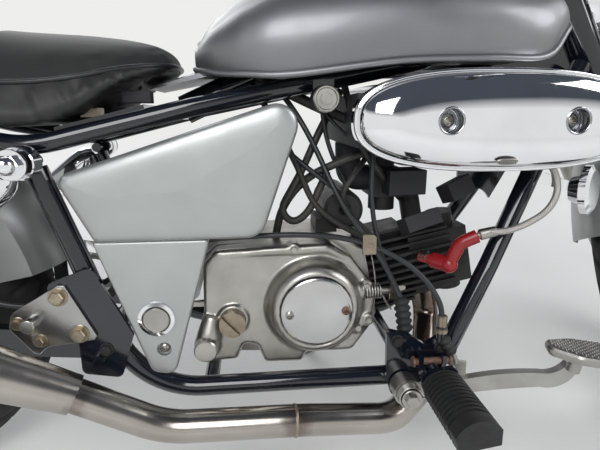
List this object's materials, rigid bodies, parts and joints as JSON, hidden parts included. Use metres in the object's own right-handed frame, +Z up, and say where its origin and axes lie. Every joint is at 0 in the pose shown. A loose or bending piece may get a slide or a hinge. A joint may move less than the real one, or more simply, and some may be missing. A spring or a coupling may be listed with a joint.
{
  "type": "small cruiser motorcycle",
  "caption": "Small cruiser motorcycle with a flat cylinder, chrome air covers, long side exhaust, wide saddle, high bars, cast wheels and a side stand to park on.",
  "frame": {"origin": "on the ground, under the middle of the parked machine's bounding box", "axes": "+X towards the front wheel, +Y towards the rider's left, +Z up; the machine leans to its left on its side stand, with the steering turned left against its stop"},
  "size_m": [1.86, 0.6472, 1.147],
  "materials": {
    "tyre": "matte black with a soft sheen",
    "frame_paint": "gloss blue-black",
    "silver_paint": "satin silver metallic",
    "chrome": "mirror polished",
    "cast_alloy": "satin cast",
    "black_alloy": "satin black",
    "steel": "brushed",
    "rubber": "matte black",
    "black_plastic": "matte black",
    "red_cap": "deep red",
    "amber": "amber lens",
    "red_lens": "red lens",
    "seat_leather": "black grained",
    "cable": "dark grey braid"
  },
  "bodies": {
    "chassis": {"rear_brake_plate": "cast_alloy", "frame_spine": "frame_paint", "frame_cradle": "frame_paint", "clutch_cover": "cast_alloy", "crankcase": "cast_alloy", "cylinder": "black_alloy", "cylinder_head": "black_alloy", "plug_cap": "red_cap", "starter_motor": "black_alloy", "carburettor": "cast_alloy", "air_box": "black_plastic", "air_covers": "chrome", "side_covers": "silver_paint", "fuel_tank": "silver_paint", "fuel_cap": "chrome", "seat": "seat_leather", "exhaust": "steel", "exhaust_hanger": "steel", "footpeg_brackets": "cast_alloy", "footpegs": "rubber", "brake_pedal": "cast_alloy", "gear_lever": "cast_alloy", "brake_cable": "cable", "plug_lead": "cable", "ignition_coil": "black_plastic", "ignition_switch": "black_plastic", "swingarm": "frame_paint", "rear_shocks": "chrome", "drive_chain": "steel", "chain_guard": "chrome", "rear_fender": "silver_paint", "tail_lamp": "red_lens", "number_plate": "silver_paint", "rear_indicators": "amber", "horn": "chrome", "frame_brackets": "frame_paint"},
    "steering": {"front_fender": "silver_paint", "fork_yokes": "cast_alloy", "fork_leg_right": "cast_alloy", "fork_leg_left": "cast_alloy", "brake_caliper": "black_alloy", "headlamp": "chrome", "handlebar": "chrome", "grips": "rubber", "bar_controls": "black_alloy", "mirrors": "chrome", "speedometer": "chrome", "headlamp_brackets": "chrome", "front_indicators": "amber"},
    "front_wheel": {"front_tyre": "tyre", "front_wheel_rim": "cast_alloy", "front_brake_disc": "steel"},
    "rear_wheel": {"rear_tyre": "tyre", "rear_wheel_rim": "cast_alloy", "rear_drum_and_sprocket": "cast_alloy"},
    "side_stand": {"side_stand": "steel"}
  },
  "joints": [
    {"name": "steering", "type": "hinge", "parent": "chassis", "child": "steering", "pos_m": [0.63536, -0.04742, 0.24251], "axis": [-0.495, 0.1209, 0.8605], "range_deg": [-80, 0]},
    {"name": "front_wheel_spin", "type": "hinge", "parent": "steering", "child": "front_wheel", "pos_m": [0.67729, -0.00399, 0.26053], "axis": [-0.5585, 0.7143, -0.4217], "continuous": true},
    {"name": "rear_wheel_spin", "type": "hinge", "parent": "chassis", "child": "rear_wheel", "pos_m": [-0.59998, -0.0444, 0.26396], "axis": [0, 0.9903, -0.1392], "continuous": true},
    {"name": "side_stand_fold", "type": "hinge", "parent": "chassis", "child": "side_stand", "pos_m": [0.07037, 0.07977, 0.1315], "axis": [-0.2831, 0.9493, 0.1369], "range_deg": [0, 89.29]}
  ]
}
